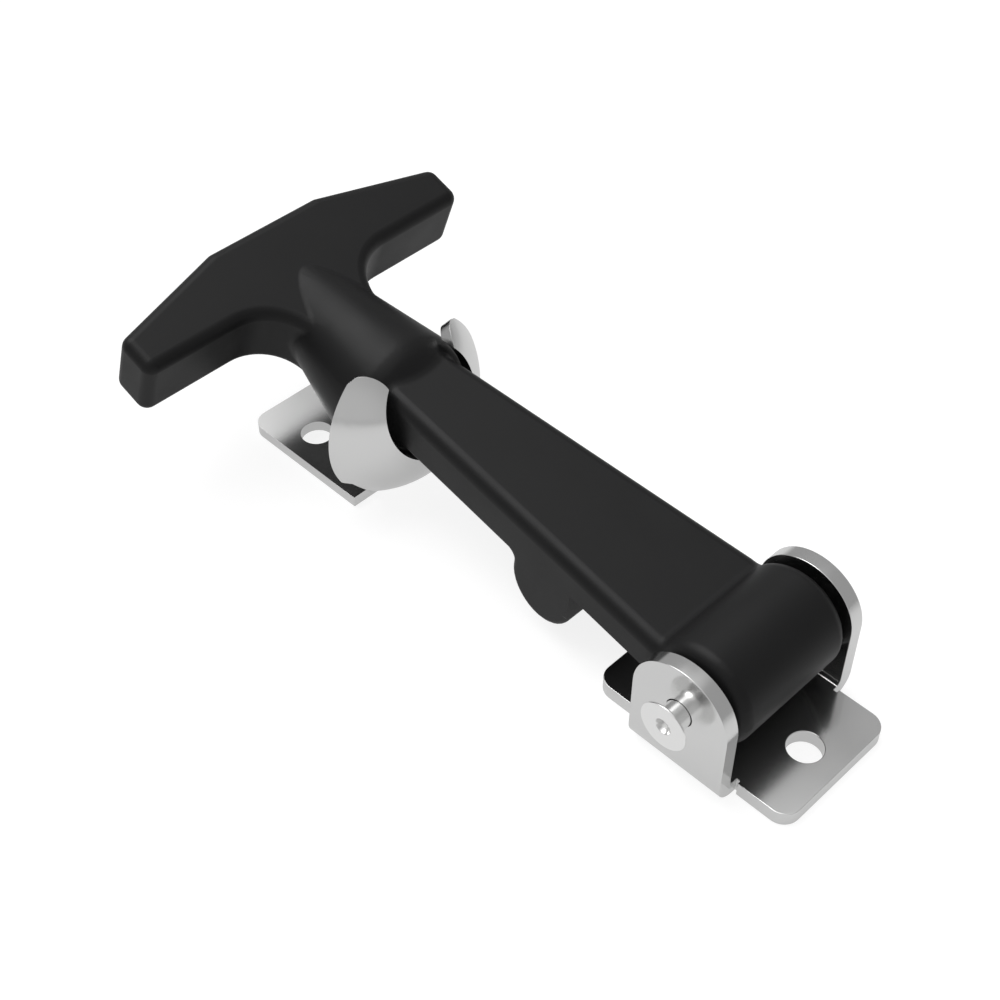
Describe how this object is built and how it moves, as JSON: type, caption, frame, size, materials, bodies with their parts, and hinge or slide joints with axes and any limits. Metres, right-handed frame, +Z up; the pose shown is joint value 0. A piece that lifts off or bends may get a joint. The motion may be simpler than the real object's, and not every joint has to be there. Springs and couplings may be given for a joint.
{
  "type": "flexible draw latch",
  "caption": "Low-profile flexible draw latch: a rubber T-handle pivots in a steel bracket and its ball-shouldered neck hooks into a dished keeper fork.",
  "frame": {"origin": "on the mounting plane, at the middle of the bracket's pair of screw holes, straight below the pivot axis", "axes": "+X from the T grip towards the pivot's free end, +Y across the latch along the pivot pin, +Z up, out of the panel"},
  "size_m": [0.136, 0.0712, 0.0358],
  "materials": {
    "handle_rubber": "matt moulded",
    "bracket_steel": "rolled stainless sheet",
    "keeper_steel": "rolled stainless sheet",
    "pin_steel": "turned stainless steel"
  },
  "bodies": {
    "bracket": {"bracket": "bracket_steel", "pivot_pin": "pin_steel"},
    "handle": {"handle": "handle_rubber"},
    "keeper": {"keeper": "keeper_steel"}
  },
  "joints": [
    {"name": "handle_swing", "type": "hinge", "parent": "bracket", "child": "handle", "pos_m": [0, 0, 0.0145], "axis": [0, 1, 0], "range_deg": [0, 170]},
    {"name": "keeper_release", "type": "slide", "parent": "handle", "child": "keeper", "axis": [0.9948, 0, -0.1021], "range_m": [0, 0.008]}
  ]
}
